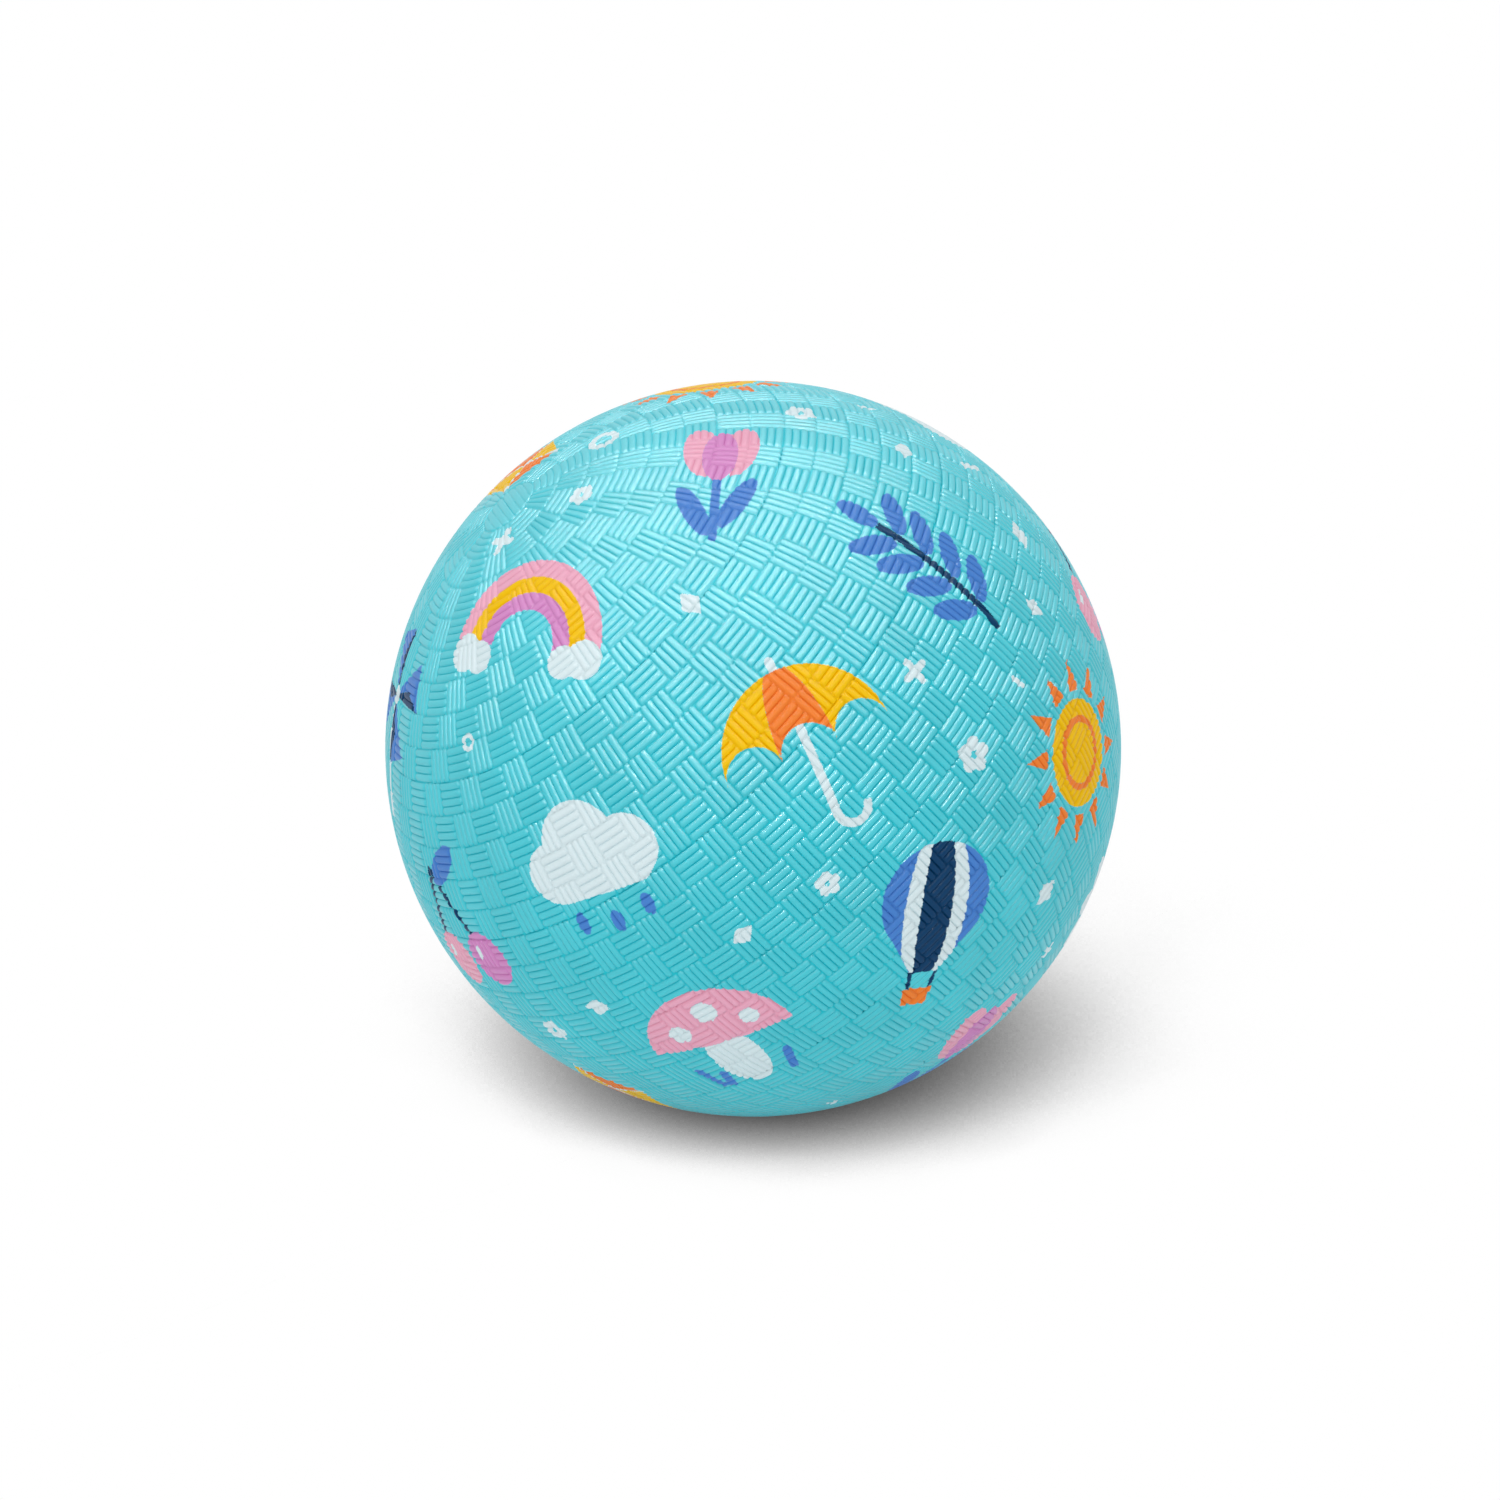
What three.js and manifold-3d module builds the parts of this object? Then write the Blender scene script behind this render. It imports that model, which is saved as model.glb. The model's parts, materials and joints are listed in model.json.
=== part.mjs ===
// A moulded rubber play ball with an inflation valve, standing on the small flat that its weight presses.
// Millimetres, +Z up, origin at the centre of that flat, on the floor.

import * as THREE from 'three';
import { mergeVertices } from 'three/addons/utils/BufferGeometryUtils.js';
import Module from 'manifold-3d';

// Ball
const ballDiameter = 180;
const coverWall = 1.6; // rubber cover, up to the crests of its moulded weave
const windingWall = 0.4; // nylon thread wound over the bladder
const bladderWall = 0.8; // butyl bladder
const layerGap = 0.3; // between one layer and the next
const partingGap = 0.3; // between the two halves of the cover, along the mould's parting line
const contactDiameter = 17; // flat on the floor, pressed by the ball's own weight

// How the ball lies: the valve's axis, as an angle from straight up and a turn about the vertical
const valveTilt = 138;
const valveTurn = 14.6;

// Valve
const padDiameter = 18; // flat moulded in the cover round the valve
const neckDiameter = 12; // housing where it passes the layers
const neckGap = 0.3; // round the neck, in every layer
const rimRecess = 0.2; // housing's rim below the pad
const reinforcementDiameter = 44; // rubber disc on the inside of the bladder
const reinforcementWall = 0.8;
const flangeDiameter = 28;
const flangeWall = 1.2;
const stemLength = 9; // housing's tube below its flange
const plugDiameter = 6;
const plugLength = 13;
const plugChamfer = 0.8;
const plugGap = 0.3; // round the plug and under its head
const headDiameter = 8.4;
const headThickness = 1.2;
const needleDiameter = 2.4; // dimple that guides the pump's needle to the slit
const needleDepth = 2;

// Facets: segments round the valve's axis, and steps in degrees along each meridian
const ballSegments = 48;
const valveSegments = 32;
const outerStep = 6;
const layerStep = 12;
const nearStep = 4; // near the valve, where the small pieces nest
const nearLimit = 24;

const ballRadius = ballDiameter / 2;
const contactRadius = contactDiameter / 2;
const centreHeight = Math.sqrt(ballRadius ** 2 - contactRadius ** 2);
const coverInside = ballRadius - coverWall;
const windingOutside = coverInside - layerGap;
const windingInside = windingOutside - windingWall;
const bladderOutside = windingInside - layerGap;
const bladderInside = bladderOutside - bladderWall;
const reinforcementOutside = bladderInside - layerGap;
const reinforcementInside = reinforcementOutside - reinforcementWall;
const flangeOutside = reinforcementInside - layerGap;
const flangeInside = flangeOutside - flangeWall;
const padRadius = padDiameter / 2;
const neckRadius = neckDiameter / 2;
const holeRadius = neckRadius + neckGap;
const flangeRadius = flangeDiameter / 2;
const plugRadius = plugDiameter / 2;
const headRadius = headDiameter / 2;

// Height of a sphere's surface above its centre, at this distance from the axis.
const heightAt = (sphereRadius, axisDistance) => Math.sqrt(sphereRadius ** 2 - axisDistance ** 2);
const padHeight = heightAt(ballRadius, padRadius);
const rimHeight = padHeight - rimRecess;

// Angle from the valve's axis, in degrees, of a point on a sphere.
const angleAt = (sphereRadius, axisDistance) => THREE.MathUtils.radToDeg(Math.asin(axisDistance / sphereRadius));
const angleAtHeight = (sphereRadius, height) => THREE.MathUtils.radToDeg(Math.acos(height / sphereRadius));

const outerStations = [];
for (let angle = outerStep; angle < 180; angle += outerStep) outerStations.push(angle);

const layerStations = [];
for (let angle = nearStep; angle <= nearLimit; angle += nearStep) layerStations.push(angle);
for (let angle = nearLimit + layerStep; angle < 180; angle += layerStep) layerStations.push(angle);

// Points [distance from the axis, height] of a meridian from one angle to another, with every station between.
function meridian(sphereRadius, from, to, stations) {
  const low = Math.min(from, to);
  const high = Math.max(from, to);
  const clear = nearStep / 4;
  const inside = stations.filter((angle) => angle > low + clear && angle < high - clear);
  const angles = [low, ...inside, high];
  if (from > to) angles.reverse();
  return angles.map((angle) => {
    const turn = THREE.MathUtils.degToRad(angle);
    return [angle === 180 ? 0 : sphereRadius * Math.sin(turn), sphereRadius * Math.cos(turn)];
  });
}

// Keeps only the positions of a geometry, with shared vertices merged and flat triangles dropped.
function welded(geometry) {
  geometry.deleteAttribute('normal');
  geometry.deleteAttribute('uv');
  const merged = mergeVertices(geometry, 1e-5);
  const corners = merged.index.array;
  const kept = [];
  for (let i = 0; i < corners.length; i += 3) {
    const [a, b, c] = corners.slice(i, i + 3);
    if (a !== b && b !== c && c !== a) kept.push(a, b, c);
  }
  merged.setIndex(kept);
  return merged;
}

// Turns a profile about the Z axis. It starts and ends on the axis, or it closes on itself,
// and it is written with its material on the right, so its points are taken backwards to face out.
function turned(profile, segments) {
  const points = profile.map(([distance, height]) => new THREE.Vector2(distance, height)).reverse();
  const startsOnAxis = profile[0][0] === 0;
  if (!startsOnAxis) points.push(points[0].clone());
  const geometry = new THREE.LatheGeometry(points, segments);
  geometry.rotateX(Math.PI / 2);
  return welded(geometry);
}

const rubber = (color, roughness) => new THREE.MeshStandardMaterial({ color, roughness, metalness: 0 });

function piece(name, geometry, material) {
  geometry.computeVertexNormals();
  const mesh = new THREE.Mesh(geometry, material);
  mesh.name = name;
  return mesh;
}

// The ball in its mould's frame, with the valve on +Z and the parting line in the plane Z = 0.
const ball = new THREE.Group();
ball.rotation.set(0, THREE.MathUtils.degToRad(valveTilt), THREE.MathUtils.degToRad(valveTurn), 'ZYX');
ball.position.set(0, 0, centreHeight);
ball.updateMatrix();

const wasm = await Module();
wasm.setup();

function solidOf(geometry) {
  return new wasm.Manifold(new wasm.Mesh({
    numProp: 3,
    vertProperties: new Float32Array(geometry.attributes.position.array),
    triVerts: new Uint32Array(geometry.index.array),
  }));
}

function geometryOf(solid) {
  const mesh = solid.getMesh();
  const geometry = new THREE.BufferGeometry();
  geometry.setAttribute('position', new THREE.BufferAttribute(mesh.vertProperties, 3));
  geometry.setIndex(new THREE.BufferAttribute(mesh.triVerts, 1));
  return geometry;
}

// The floor's space, in the mould's frame: what it cuts from the ball is the flat that the ball stands on.
function floorBlock() {
  const depth = ballRadius - centreHeight;
  const block = new THREE.BoxGeometry(ballDiameter, ballDiameter, 2 * depth);
  block.translate(0, 0, -depth);
  block.applyMatrix4(ball.matrix.clone().invert());
  return welded(block);
}

// One half of the cover, from the parting line to the pole across from the valve.
function plainHalf() {
  const edge = -partingGap / 2;
  return turned([
    ...meridian(coverInside, 180, angleAtHeight(coverInside, edge), layerStations),
    ...meridian(ballRadius, angleAtHeight(ballRadius, edge), 180, outerStations),
  ], ballSegments);
}

// The other half, with the valve's flat pad and its hole, and the flat on the floor.
function valveHalf() {
  const edge = partingGap / 2;
  const whole = turned([
    ...meridian(coverInside, angleAtHeight(coverInside, edge), angleAt(coverInside, holeRadius), layerStations),
    [holeRadius, padHeight],
    ...meridian(ballRadius, angleAt(ballRadius, padRadius), angleAtHeight(ballRadius, edge), outerStations),
  ], ballSegments);
  return geometryOf(solidOf(whole).subtract(solidOf(floorBlock())));
}

// A whole layer of the wall, open only at the valve.
function layer(outside, inside) {
  return turned([
    ...meridian(inside, 180, angleAt(inside, holeRadius), layerStations),
    ...meridian(outside, angleAt(outside, holeRadius), 180, layerStations),
  ], ballSegments);
}

// Disc that spreads the valve's pull over the bladder.
function reinforcement() {
  const edge = reinforcementDiameter / 2;
  return turned([
    ...meridian(reinforcementInside, angleAt(reinforcementInside, edge),
      angleAt(reinforcementInside, holeRadius), layerStations),
    ...meridian(reinforcementOutside, angleAt(reinforcementOutside, holeRadius),
      angleAt(reinforcementOutside, edge), layerStations),
  ], ballSegments);
}

// Housing: a tube with a flange inside the bladder, and a seat in its rim for the plug's head.
function housing() {
  const boreRadius = plugRadius + plugGap;
  const seatRadius = headRadius + plugGap;
  const seatHeight = rimHeight - headThickness - plugGap;
  const stemEnd = flangeInside - stemLength;
  return turned([
    [boreRadius, stemEnd],
    [boreRadius, seatHeight],
    [seatRadius, seatHeight],
    [seatRadius, rimHeight],
    [neckRadius, rimHeight],
    ...meridian(flangeOutside, angleAt(flangeOutside, neckRadius),
      angleAt(flangeOutside, flangeRadius), layerStations),
    ...meridian(flangeInside, angleAt(flangeInside, flangeRadius),
      angleAt(flangeInside, neckRadius), layerStations),
    [neckRadius, stemEnd],
  ], valveSegments);
}

// Self-sealing plug: a headed rubber pin with a dimple for the needle.
function plug() {
  const end = rimHeight - plugLength;
  return turned([
    [0, rimHeight - needleDepth],
    [needleDiameter / 2, rimHeight],
    [headRadius, rimHeight],
    [headRadius, rimHeight - headThickness],
    [plugRadius, rimHeight - headThickness],
    [plugRadius, end + plugChamfer],
    [plugRadius - plugChamfer, end],
    [0, end],
  ], valveSegments);
}

const coverRubber = rubber(0x4fcfd8, 0.5);
const blackRubber = rubber(0x1b1b1d, 0.7);

ball.add(
  piece('cover_plain_half', plainHalf(), coverRubber),
  piece('cover_valve_half', valveHalf(), coverRubber.clone()),
  piece('nylon_winding', layer(windingOutside, windingInside), rubber(0xe6e1d2, 0.8)),
  piece('bladder', layer(bladderOutside, bladderInside), blackRubber),
  piece('valve_reinforcement', reinforcement(), blackRubber.clone()),
  piece('valve_housing', housing(), rubber(0x2a2b2e, 0.65)),
  piece('valve_plug', plug(), rubber(0x141416, 0.6)),
);

const group = new THREE.Group();
group.add(ball);

export default group;
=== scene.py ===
import json
import math

import bpy
import numpy as np
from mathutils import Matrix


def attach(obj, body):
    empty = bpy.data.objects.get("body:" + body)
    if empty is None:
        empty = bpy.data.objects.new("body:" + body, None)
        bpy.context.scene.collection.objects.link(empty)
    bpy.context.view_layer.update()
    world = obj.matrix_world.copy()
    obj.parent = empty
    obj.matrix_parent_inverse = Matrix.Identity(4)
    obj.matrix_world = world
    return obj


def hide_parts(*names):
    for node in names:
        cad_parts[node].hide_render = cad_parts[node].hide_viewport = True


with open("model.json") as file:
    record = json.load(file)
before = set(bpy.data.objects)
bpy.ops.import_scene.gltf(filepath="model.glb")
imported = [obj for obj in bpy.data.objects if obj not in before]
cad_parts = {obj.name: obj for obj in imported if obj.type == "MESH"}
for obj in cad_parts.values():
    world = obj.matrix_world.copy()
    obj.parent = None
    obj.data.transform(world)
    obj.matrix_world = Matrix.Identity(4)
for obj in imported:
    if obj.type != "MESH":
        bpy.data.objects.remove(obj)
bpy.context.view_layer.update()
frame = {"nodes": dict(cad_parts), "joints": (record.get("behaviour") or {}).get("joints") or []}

print("frame loaded:", len(frame["nodes"]), "nodes")

# A moulded rubber play ball with a basket weave grip. Sizes are millimetres, and a finished mesh is metres.
metre = 0.001  # from millimetres
ball = {
    "radius": 90.0,  # to the crests of the weave
    "contactWidth": 17.0,  # flat that the ball's weight presses on the floor
    "inside": 88.4,  # inner face of the cover
    "insideTurns": 72,  # points round that face
}
ballCentre = np.array([0.0, 0.0, math.sqrt(ball["radius"] ** 2 - (ball["contactWidth"] / 2) ** 2)])

# The mould's axes: the valve's axis, which the plug slides along, and two across it.
mouldZ = np.array(frame["joints"][0]["axis"])
mouldZ = mouldZ / np.linalg.norm(mouldZ)
mouldY = np.cross([0.0, 0.0, 1.0], mouldZ)
mouldY = mouldY / np.linalg.norm(mouldY)
mouldTurn = np.stack([np.cross(mouldY, mouldZ), mouldY, mouldZ])
plainSide, valveSide = -1.0, 1.0  # of the parting line


# Surfaces are gathered as points by their turn round the valve's axis, their angle above the parting line
# and their distance from the ball's centre.
def newSurface():
    return {"turn": [], "rise": [], "radius": [], "count": 0, "quads": [], "tris": [], "hidden": []}


# Adds points and gives back their numbers, in the shape of the arrays.
def addPoints(surface, turn, rise, radius):
    turn, rise, radius = np.broadcast_arrays(turn, rise, radius)
    for name, values in (("turn", turn), ("rise", rise), ("radius", radius)):
        surface[name].append(values.ravel())
    index = surface["count"] + np.arange(turn.size).reshape(turn.shape)
    surface["count"] += turn.size
    return index


# A grid of points, or a stack of them, becomes quads: rows climb, columns turn.
def addGrid(surface, index):
    corners = (index[..., :-1, :-1], index[..., :-1, 1:], index[..., 1:, 1:], index[..., 1:, :-1])
    surface["quads"].append(np.stack(corners, -1).reshape(-1, 4))


# Triangles from three arrays of corners. Hidden ones are the edges and the inner face of the wall.
def addTris(surface, hidden, *corners):
    tris = np.stack(np.broadcast_arrays(*corners), -1).reshape(-1, 3)
    surface["tris"].append(tris)
    surface["hidden"].append(np.full(len(tris), hidden))


# Joins two rims side by side that climb with different steps: each step of either rim makes a triangle
# with the last point passed on the other one. The leading axis of an index is a stack of copies.
def addSeam(surface, west, westRise, east, eastRise):
    eastAt = np.clip(np.searchsorted(eastRise, westRise[1:], "left") - 1, 0, len(eastRise) - 1)
    westAt = np.clip(np.searchsorted(westRise, eastRise[1:], "right") - 1, 0, len(westRise) - 1)
    addTris(surface, False, west[:, :-1], east[:, eastAt], west[:, 1:])
    addTris(surface, False, west[:, westAt], east[:, :-1], east[:, 1:])


# A closed loop round the axis, ordered by its turn from 0 to a full circle.
def sortedLoop(index, turns):
    turns = np.mod(turns.ravel(), 2 * math.pi)
    order = np.argsort(turns, kind="stable")
    return {"index": index.ravel()[order], "turn": turns[order]}


# A loop of new points. A single point on the axis counts as one too.
def newLoop(surface, turn, rise, radius):
    index = addPoints(surface, turn, rise, radius)
    return sortedLoop(index, np.broadcast_to(turn, index.shape))


# The same joining for two closed loops, or for a loop and a single point on the axis.
def joinLoops(surface, below, above, hidden=False):
    if len(below["index"]) > 1:
        at = np.searchsorted(above["turn"], np.roll(below["turn"], -1), "left") - 1
        addTris(surface, hidden, below["index"], np.roll(below["index"], -1), above["index"][at])
    if len(above["index"]) > 1:
        at = np.searchsorted(below["turn"], np.roll(above["turn"], -1), "right") - 1
        addTris(surface, hidden, below["index"][at], np.roll(above["index"], -1), above["index"])


# A run of loops, each joined to the next.
def joinPath(surface, loops, hidden=False):
    for below, above in zip(loops[:-1], loops[1:]):
        joinLoops(surface, below, above, hidden)


# Equal turns round a full circle, from 0.
def evenTurns(count):
    return np.arange(count) * (2 * math.pi / count)


# Directions from the ball's centre: cosines and sines of turn and rise, turned into the part's frame.
# The plain side is the valve side turned half over, so faces keep their way round.
def directionsOf(turn, rise, side):
    flat = np.cos(rise)
    local = np.stack([flat * np.cos(turn), side * flat * np.sin(turn), side * np.sin(rise)], -1)
    return local @ mouldTurn


# Print. Every ink is a signed distance from its edge in millimetres, negative where it is printed.
inkFar = 6.0  # mm, past which a distance isn't kept
ovalNudge = 1e-4  # mm off an oval's middle, where the level has no slope
leastFlat = 1e-9  # sine of the least angle from a motif's middle
inkNames = ("white", "yellow", "orange", "pink", "orchid", "blue", "navy")
inkPairs = (("pink", "orchid"), ("yellow", "orange"), ("blue", "navy"))


# Distance to a disc: that to its middle, less its radius.
def disc(x, y, cx, cy, radius):
    return np.hypot(x - cx, y - cy) - radius


# Distance to an oval: its level, which is 1 on the edge, less 1 and over the level's slope.
def oval(x, y, cx, cy, halfWide, halfTall, lean=0.0):
    across = (x - cx) * math.cos(lean) + (y - cy) * math.sin(lean) + ovalNudge
    along = (y - cy) * math.cos(lean) - (x - cx) * math.sin(lean)
    level = np.hypot(across / halfWide, along / halfTall)
    slope = np.hypot(across / halfWide ** 2, along / halfTall ** 2)
    return level * (level - 1) / slope


# Distance to a straight stroke with round ends: that to its middle line, less its radius.
def bar(x, y, ax, ay, bx, by, radius):
    dx, dy = bx - ax, by - ay
    share = np.clip(((x - ax) * dx + (y - ay) * dy) / (dx * dx + dy * dy), 0, 1)
    return np.hypot(x - ax - share * dx, y - ay - share * dy) - radius


# Distance to a convex outline: the greatest of those to its sides, which run anticlockwise.
def facet(x, y, corners):
    sides = []
    for (ax, ay), (bx, by) in zip(corners, corners[1:] + corners[:1]):
        length = math.hypot(bx - ax, by - ay)
        sides.append(((x - ax) * (by - ay) - (y - ay) * (bx - ax)) / length)
    return np.max(sides, axis=0)


# Folds the plane into one of several equal sectors about the X axis.
def sector(x, y, count):
    step = 2 * math.pi / count
    angle = np.mod(np.arctan2(y, x) + step / 2, step) - step / 2
    reach = np.hypot(x, y)
    return reach * np.cos(angle), reach * np.sin(angle)


# Shapes joined: the least of their distances.
def anyOf(*shapes):
    return np.min(shapes, axis=0)


# What shapes have in common: the greatest of their distances.
def allOf(*shapes):
    return np.max(shapes, axis=0)


# Motifs are drawn in millimetres about their middle, with Y up. Each gives its inks in the order of printing.
# Some take a pair of inks, main and second, and the others have inks of their own.
def sun(x, y, main, second):
    px, py = sector(x, y, 12)
    rays = facet(px, py, [(11.6, -1.9), (17.5, 0.0), (11.6, 1.9)])
    ring = np.abs(np.hypot(x, y) - 6.3) - 0.6
    return [("orange", rays), ("yellow", disc(x, y, 0, 0, 10)), ("orange", ring)]


def cloud(x, y, main, second):
    puffs = anyOf(disc(x, y, -9, -1, 6.5), disc(x, y, -1, 4, 8.5), disc(x, y, 8.5, 0, 7),
                  bar(x, y, -9, -4, 9, -4, 3.6))
    drops = anyOf(*[oval(x, y, cx, cy, 1.3, 2.5) for cx, cy in ((-8, -12.5), (0, -14), (8, -12.5))])
    return [("white", puffs), ("blue", drops)]


def rainbow(x, y, main, second):
    reach = np.hypot(x, y + 6)
    layers = []
    for ink, radius in (("pink", 17.0), ("yellow", 13.4), ("orchid", 9.8)):
        layers.append((ink, allOf(np.abs(reach - radius) - 1.8, -6 - y)))
    puffs = [disc(x, y, side * cx, cy, r) for side in (-1, 1) for cx, cy, r in ((15.5, -7, 4), (11, -8, 3.4))]
    return layers + [("white", anyOf(*puffs))]


# Sideways swing of the kite's tail: a sine of the distance below the kite's tip.
def tailSwing(y):
    return 2.2 * np.sin((y + 15) * 0.49)


def kite(x, y, main, second):
    body = facet(x, y, [(0, -15), (10, 4), (0, 14), (-10, 4)])
    quarters = anyOf(allOf(body, -x, 4 - y), allOf(body, x, y - 4))
    tail = allOf(np.abs(x - tailSwing(y)) * 0.8 - 0.55, y + 15, -31 - y)
    bows = [oval(x, y, tailSwing(cy) + dx, cy, 2.0, 1.3) for cy in (-20, -26) for dx in (-1.8, 1.8)]
    sticks = anyOf(bar(x, y, 0, -15, 0, 14, 0.45), bar(x, y, -10, 4, 10, 4, 0.45))
    return [("navy", tail), (main, body), (second, quarters), ("white", sticks), (second, anyOf(*bows))]


def balloon(x, y, main, second):
    skirt = facet(x, y, [(-3.2, -11), (3.2, -11), (11.3, 0.8), (-11.3, 0.8)])
    envelope = anyOf(disc(x, y, 0, 6, 12.5), skirt)
    ropes = anyOf(bar(x, y, -3, -11, -2.4, -16, 0.4), bar(x, y, 3, -11, 2.4, -16, 0.4))
    basket = facet(x, y, [(-2.8, -19.8), (2.8, -19.8), (3.4, -15.4), (-3.4, -15.4)])
    return [("navy", ropes), (main, envelope), ("white", allOf(envelope, oval(x, y, 0, 4, 7.4, 19))),
            (second, allOf(envelope, oval(x, y, 0, 4, 3.6, 19))), ("orange", basket)]


def daisy(x, y, main, second):
    px, py = sector(x, y, 9)
    return [("white", oval(px, py, 9.6, 0, 5.8, 2.9)), ("yellow", disc(x, y, 0, 0, 4.9)),
            ("orange", disc(x, y, 0, 0, 2.3))]


def tulip(x, y, main, second):
    leaves = anyOf(oval(x, y, -4.6, -9.5, 2.3, 7.6, 0.45), oval(x, y, 4.6, -7.5, 2.3, 7.6, -0.45))
    petals = anyOf(oval(x, y, -3.9, 8.5, 4.0, 8.4, 0.16), oval(x, y, 3.9, 8.5, 4.0, 8.4, -0.16))
    return [("blue", anyOf(leaves, bar(x, y, 0, 2, 0, -17, 0.9))), (main, petals),
            (second, oval(x, y, 0, 7, 3.7, 8.2))]


def sprig(x, y, main, second):
    stem = bar(x, y, 0, -16, 0, 13, 0.7)
    leaves = [oval(x, y, side * 4.7, cy, 2.0, 4.9, -side * 0.85)
              for side in (-1, 1) for cy in (-8, -1.5, 5, 11)]
    return [("navy", stem), ("blue", anyOf(oval(x, y, 0, 16.5, 1.9, 4.2), *leaves))]


def mushroom(x, y, main, second):
    cap = allOf(oval(x, y, 0, 1, 14, 13.5), 1 - y)
    spots = anyOf(disc(x, y, -6.5, 5.4, 2.2), disc(x, y, 0.6, 9.2, 2.5), disc(x, y, 7.6, 5.2, 1.9))
    stem = allOf(oval(x, y, 0, -4, 4.8, 9), y - 1)
    blades = anyOf(bar(x, y, -8, -12, -9.5, -6, 0.8), bar(x, y, -6, -12.5, -5.5, -8, 0.8),
                   bar(x, y, 7, -12, 8.5, -6.5, 0.8))
    return [("white", stem), (main, cap), ("white", spots), ("blue", blades)]


def umbrella(x, y, main, second):
    scallops = anyOf(*[disc(x, y, cx, -3, 5.4) for cx in (-10.7, 0, 10.7)])
    canopy = allOf(disc(x, y, 0, -3, 16), -3 - y, -scallops)
    hook = allOf(np.abs(np.hypot(x - 3, y + 15) - 3) - 0.8, y + 15)
    shaft = anyOf(bar(x, y, 0, 15, 0, -15, 0.8), hook)
    return [("white", shaft), (main, canopy), (second, allOf(canopy, oval(x, y, 0, -3, 5.4, 17)))]


def pinwheel(x, y, main, second):
    quarters = ((x, y), (y, -x), (-x, -y), (-y, x))
    blades = [facet(px, py, [(0, 0), (13.5, 0), (10.5, 9.0)]) for px, py in quarters]
    folds = [facet(px, py, [(0, 0), (13.5, 0), (7.5, 2.6)]) for px, py in quarters]
    return [("white", bar(x, y, 0, 0, 0, -24, 0.9)), (main, anyOf(*blades)), (second, anyOf(*folds)),
            ("white", disc(x, y, 0, 0, 1.8))]


def cherries(x, y, main, second):
    stems = anyOf(bar(x, y, -6.5, -3, 2, 12, 0.6), bar(x, y, 7.5, -5, 2, 12, 0.6))
    glints = anyOf(oval(x, y, -8.6, -6, 1.0, 2.0, -0.7), oval(x, y, 5.4, -8, 1.0, 2.0, -0.7))
    leaf = oval(x, y, 8.2, 11.5, 2.7, 6.6, -1.15)
    return [("navy", stems), ("blue", leaf), ("pink", disc(x, y, -6.5, -8, 6.4)),
            ("orchid", disc(x, y, 7.5, -10, 6.4)), ("white", glints)]


# Marks are small and white, drawn in the same way.
def plusMark(x, y):
    return anyOf(bar(x, y, -2.2, 0, 2.2, 0, 0.7), bar(x, y, 0, -2.2, 0, 2.2, 0.7))


def ringMark(x, y):
    return np.abs(np.hypot(x, y) - 2.2) - 0.65


def blossomMark(x, y):
    px, py = sector(x, y, 5)
    return disc(px, py, 1.9, 0, 1.25)


def dashMark(x, y):
    return bar(x, y, -2.4, 0, 2.4, 0, 0.8)


def diamondMark(x, y):
    return facet(x, y, [(0, -3.4), (2.5, 0), (0, 3.4), (-2.5, 0)])


motifs = (sun, tulip, cloud, kite, sprig, balloon, rainbow, cherries, daisy, umbrella, mushroom, pinwheel)
marks = (plusMark, ringMark, blossomMark, dashMark, diamondMark)
printPlan = {
    "motifs": 30,  # spread evenly over the whole ball
    "motifReach": 34.0,  # furthest ink from a motif's middle
    "motifTilt": 0.6,  # most lean from upright, in radians
    "motifSizes": (1.1, 1.4),  # least and most, as shares of the drawn size
    "marks": 190,  # places to try
    "markRoom": 28.0,  # a mark's middle stays this far from a motif's
    "markReach": 8.0,
    "markGap": 5.0,  # and this far from any ink
    "markSizes": (0.7, 1.4),
    "valveRoom": 22.0,  # bare round the valve
    "turn": 0.9,  # of the whole layout, in radians
    "markTurn": 1.0,  # of the marks beyond that
    "seed": 11,
}


# Points spread evenly over a sphere, on a spiral that turns by the golden angle each step.
def spreadDirections(count, turn):
    step = np.arange(count) + 0.5
    height = 1 - 2 * step / count
    angle = step * math.pi * (3 - math.sqrt(5)) + turn
    flat = np.sqrt(1 - height ** 2)
    return np.stack([flat * np.cos(angle), flat * np.sin(angle), height], -1)


# Upright tangent axes at a direction, leaned by an angle.
def tangentAxes(middle, lean):
    up = np.array([0.0, 0.0, 1.0]) - middle[2] * middle
    up = up / np.linalg.norm(up)
    right = np.cross(up, middle)
    return (math.cos(lean) * right + math.sin(lean) * up, math.cos(lean) * up - math.sin(lean) * right)


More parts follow.
